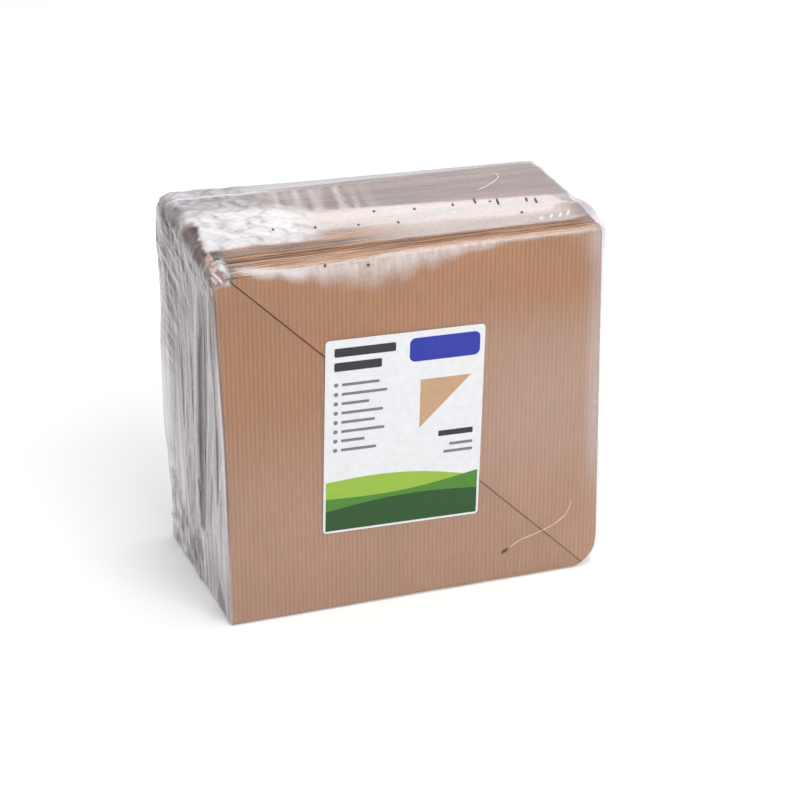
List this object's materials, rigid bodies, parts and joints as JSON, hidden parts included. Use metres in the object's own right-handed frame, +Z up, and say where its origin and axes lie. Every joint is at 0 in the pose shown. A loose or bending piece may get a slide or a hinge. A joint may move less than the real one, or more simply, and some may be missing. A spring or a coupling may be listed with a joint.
{
  "type": "shrink-wrapped pack of flat paper cones",
  "caption": "Clear shrink-wrapped square pack of flat folded kraft paper cones in triangular stacks, long edge to long edge, with a paper label on its front.",
  "frame": {"origin": "under the middle of the overall box, on the surface that the pack stands on", "axes": "+Z up, +X to the right seen from the front, -Y out of the labelled front"},
  "size_m": [0.2016, 0.0992, 0.1916],
  "materials": {
    "kraft_paper": "ribbed brown kraft paper, matt",
    "clear_film": "clear shrink film, glossy",
    "label_paper": "white coated label paper with printed fields of colour"
  },
  "bodies": {
    "root": {"lower_cones": "kraft_paper", "upper_cones": "kraft_paper", "shrink_film": "clear_film", "label": "label_paper"}
  },
  "joints": []
}
